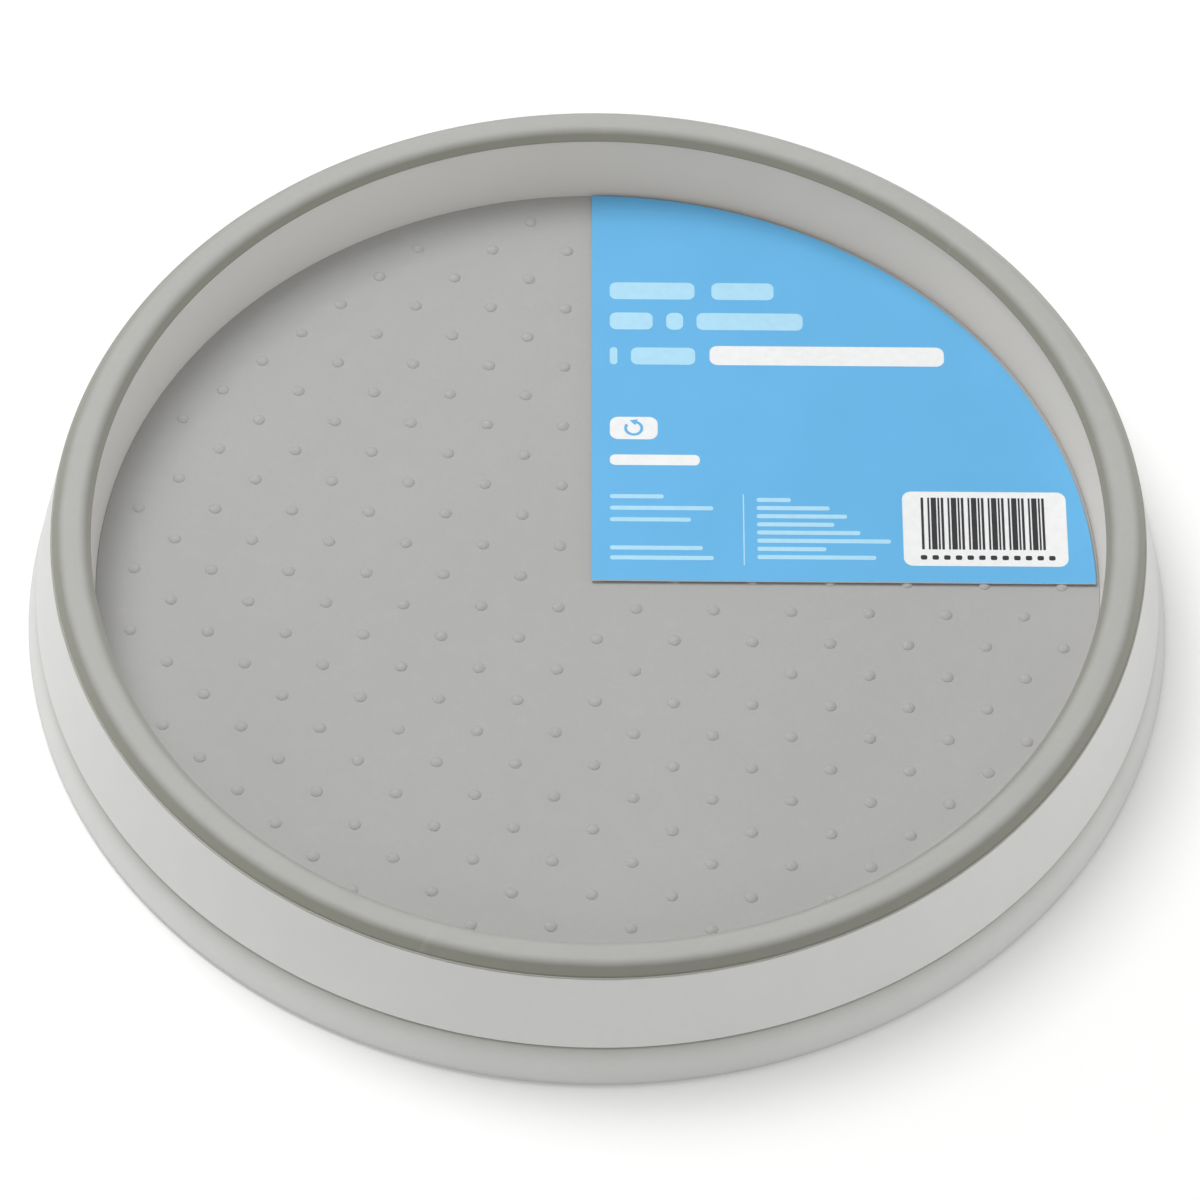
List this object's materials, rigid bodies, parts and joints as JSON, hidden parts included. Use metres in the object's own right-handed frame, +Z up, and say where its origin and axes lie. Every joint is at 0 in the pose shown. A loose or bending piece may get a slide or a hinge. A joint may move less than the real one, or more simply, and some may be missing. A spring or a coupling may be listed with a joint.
{
  "type": "lazy susan turntable",
  "caption": "Low round turntable: a deep-walled tray with a soft grip rim and a dotted mat spins on a caged ring of balls over a conical base ring.",
  "frame": {"origin": "on the table plane under the feet, at the middle of the footprint, on the spin axis", "axes": "+Z up along the spin axis; +X and +Y along the straight edges of the label card"},
  "size_m": [0.2636, 0.2636, 0.0356],
  "materials": {
    "white_shell": "fine satin moulding",
    "white_base": "fine satin moulding",
    "grey_grip": "soft matt elastomer",
    "grey_mat": "soft matt elastomer with raised dots",
    "label_card": "printed coated card",
    "acetal_bushing": "turned acetal",
    "white_cap": "fine satin moulding",
    "acetal_cage": "stamped plastic sheet",
    "zinc_screw": "zinc plate",
    "steel_washer": "plain steel",
    "bearing_steel": "polished",
    "foot_rubber": "matt elastomer"
  },
  "bodies": {
    "root": {"base_pan": "white_base", "hub_bushing": "acetal_bushing", "hub_cap": "white_cap", "foot_1": "foot_rubber", "foot_2": "foot_rubber", "foot_3": "foot_rubber", "foot_4": "foot_rubber", "foot_5": "foot_rubber", "foot_6": "foot_rubber"},
    "tray": {"tray_shell": "white_shell", "rim_grip": "grey_grip", "floor_mat": "grey_mat", "label_card": "label_card", "pivot_screw": "zinc_screw", "pivot_washer": "steel_washer"},
    "cage": {"ball_cage": "acetal_cage"},
    "bearing_ball_01_body": {"bearing_ball_01": "bearing_steel"},
    "bearing_ball_02_body": {"bearing_ball_02": "bearing_steel"},
    "bearing_ball_03_body": {"bearing_ball_03": "bearing_steel"},
    "bearing_ball_04_body": {"bearing_ball_04": "bearing_steel"},
    "bearing_ball_05_body": {"bearing_ball_05": "bearing_steel"},
    "bearing_ball_06_body": {"bearing_ball_06": "bearing_steel"},
    "bearing_ball_07_body": {"bearing_ball_07": "bearing_steel"},
    "bearing_ball_08_body": {"bearing_ball_08": "bearing_steel"},
    "bearing_ball_09_body": {"bearing_ball_09": "bearing_steel"},
    "bearing_ball_10_body": {"bearing_ball_10": "bearing_steel"},
    "bearing_ball_11_body": {"bearing_ball_11": "bearing_steel"},
    "bearing_ball_12_body": {"bearing_ball_12": "bearing_steel"},
    "bearing_ball_13_body": {"bearing_ball_13": "bearing_steel"},
    "bearing_ball_14_body": {"bearing_ball_14": "bearing_steel"},
    "bearing_ball_15_body": {"bearing_ball_15": "bearing_steel"},
    "bearing_ball_16_body": {"bearing_ball_16": "bearing_steel"},
    "bearing_ball_17_body": {"bearing_ball_17": "bearing_steel"},
    "bearing_ball_18_body": {"bearing_ball_18": "bearing_steel"}
  },
  "joints": [
    {"name": "tray_spin", "type": "hinge", "parent": "root", "child": "tray", "pos_m": [0, 0, 0], "axis": [0, 0, 1], "continuous": true},
    {"name": "cage_spin", "type": "hinge", "parent": "root", "child": "cage", "pos_m": [0, 0, 0], "axis": [0, 0, 1], "continuous": true},
    {"name": "bearing_ball_01_roll", "type": "hinge", "parent": "cage", "child": "bearing_ball_01_body", "pos_m": [0.08, 0, 0.00751], "axis": [1, 0, 0], "continuous": true},
    {"name": "bearing_ball_02_roll", "type": "hinge", "parent": "cage", "child": "bearing_ball_02_body", "pos_m": [0.07518, 0.02736, 0.00751], "axis": [0.9397, 0.342, 0], "continuous": true},
    {"name": "bearing_ball_03_roll", "type": "hinge", "parent": "cage", "child": "bearing_ball_03_body", "pos_m": [0.06128, 0.05142, 0.00751], "axis": [0.766, 0.6428, 0], "continuous": true},
    {"name": "bearing_ball_04_roll", "type": "hinge", "parent": "cage", "child": "bearing_ball_04_body", "pos_m": [0.04, 0.06928, 0.00751], "axis": [0.5, 0.866, 0], "continuous": true},
    {"name": "bearing_ball_05_roll", "type": "hinge", "parent": "cage", "child": "bearing_ball_05_body", "pos_m": [0.01389, 0.07878, 0.00751], "axis": [0.1736, 0.9848, 0], "continuous": true},
    {"name": "bearing_ball_06_roll", "type": "hinge", "parent": "cage", "child": "bearing_ball_06_body", "pos_m": [-0.01389, 0.07878, 0.00751], "axis": [-0.1736, 0.9848, 0], "continuous": true},
    {"name": "bearing_ball_07_roll", "type": "hinge", "parent": "cage", "child": "bearing_ball_07_body", "pos_m": [-0.04, 0.06928, 0.00751], "axis": [-0.5, 0.866, 0], "continuous": true},
    {"name": "bearing_ball_08_roll", "type": "hinge", "parent": "cage", "child": "bearing_ball_08_body", "pos_m": [-0.06128, 0.05142, 0.00751], "axis": [-0.766, 0.6428, 0], "continuous": true},
    {"name": "bearing_ball_09_roll", "type": "hinge", "parent": "cage", "child": "bearing_ball_09_body", "pos_m": [-0.07518, 0.02736, 0.00751], "axis": [-0.9397, 0.342, 0], "continuous": true},
    {"name": "bearing_ball_10_roll", "type": "hinge", "parent": "cage", "child": "bearing_ball_10_body", "pos_m": [-0.08, 0, 0.00751], "axis": [-1, 0, 0], "continuous": true},
    {"name": "bearing_ball_11_roll", "type": "hinge", "parent": "cage", "child": "bearing_ball_11_body", "pos_m": [-0.07518, -0.02736, 0.00751], "axis": [-0.9397, -0.342, 0], "continuous": true},
    {"name": "bearing_ball_12_roll", "type": "hinge", "parent": "cage", "child": "bearing_ball_12_body", "pos_m": [-0.06128, -0.05142, 0.00751], "axis": [-0.766, -0.6428, 0], "continuous": true},
    {"name": "bearing_ball_13_roll", "type": "hinge", "parent": "cage", "child": "bearing_ball_13_body", "pos_m": [-0.04, -0.06928, 0.00751], "axis": [-0.5, -0.866, 0], "continuous": true},
    {"name": "bearing_ball_14_roll", "type": "hinge", "parent": "cage", "child": "bearing_ball_14_body", "pos_m": [-0.01389, -0.07878, 0.00751], "axis": [-0.1736, -0.9848, 0], "continuous": true},
    {"name": "bearing_ball_15_roll", "type": "hinge", "parent": "cage", "child": "bearing_ball_15_body", "pos_m": [0.01389, -0.07878, 0.00751], "axis": [0.1736, -0.9848, 0], "continuous": true},
    {"name": "bearing_ball_16_roll", "type": "hinge", "parent": "cage", "child": "bearing_ball_16_body", "pos_m": [0.04, -0.06928, 0.00751], "axis": [0.5, -0.866, 0], "continuous": true},
    {"name": "bearing_ball_17_roll", "type": "hinge", "parent": "cage", "child": "bearing_ball_17_body", "pos_m": [0.06128, -0.05142, 0.00751], "axis": [0.766, -0.6428, 0], "continuous": true},
    {"name": "bearing_ball_18_roll", "type": "hinge", "parent": "cage", "child": "bearing_ball_18_body", "pos_m": [0.07518, -0.02736, 0.00751], "axis": [0.9397, -0.342, 0], "continuous": true}
  ],
  "couplings": [
    {"joint": "cage_spin", "follows": "tray_spin", "ratio": 0.5},
    {"joint": "bearing_ball_01_roll", "follows": "tray_spin", "ratio": -20.156},
    {"joint": "bearing_ball_02_roll", "follows": "tray_spin", "ratio": -20.156},
    {"joint": "bearing_ball_03_roll", "follows": "tray_spin", "ratio": -20.156},
    {"joint": "bearing_ball_04_roll", "follows": "tray_spin", "ratio": -20.156},
    {"joint": "bearing_ball_05_roll", "follows": "tray_spin", "ratio": -20.156},
    {"joint": "bearing_ball_06_roll", "follows": "tray_spin", "ratio": -20.156},
    {"joint": "bearing_ball_07_roll", "follows": "tray_spin", "ratio": -20.156},
    {"joint": "bearing_ball_08_roll", "follows": "tray_spin", "ratio": -20.156},
    {"joint": "bearing_ball_09_roll", "follows": "tray_spin", "ratio": -20.156},
    {"joint": "bearing_ball_10_roll", "follows": "tray_spin", "ratio": -20.156},
    {"joint": "bearing_ball_11_roll", "follows": "tray_spin", "ratio": -20.156},
    {"joint": "bearing_ball_12_roll", "follows": "tray_spin", "ratio": -20.156},
    {"joint": "bearing_ball_13_roll", "follows": "tray_spin", "ratio": -20.156},
    {"joint": "bearing_ball_14_roll", "follows": "tray_spin", "ratio": -20.156},
    {"joint": "bearing_ball_15_roll", "follows": "tray_spin", "ratio": -20.156},
    {"joint": "bearing_ball_16_roll", "follows": "tray_spin", "ratio": -20.156},
    {"joint": "bearing_ball_17_roll", "follows": "tray_spin", "ratio": -20.156},
    {"joint": "bearing_ball_18_roll", "follows": "tray_spin", "ratio": -20.156}
  ]
}
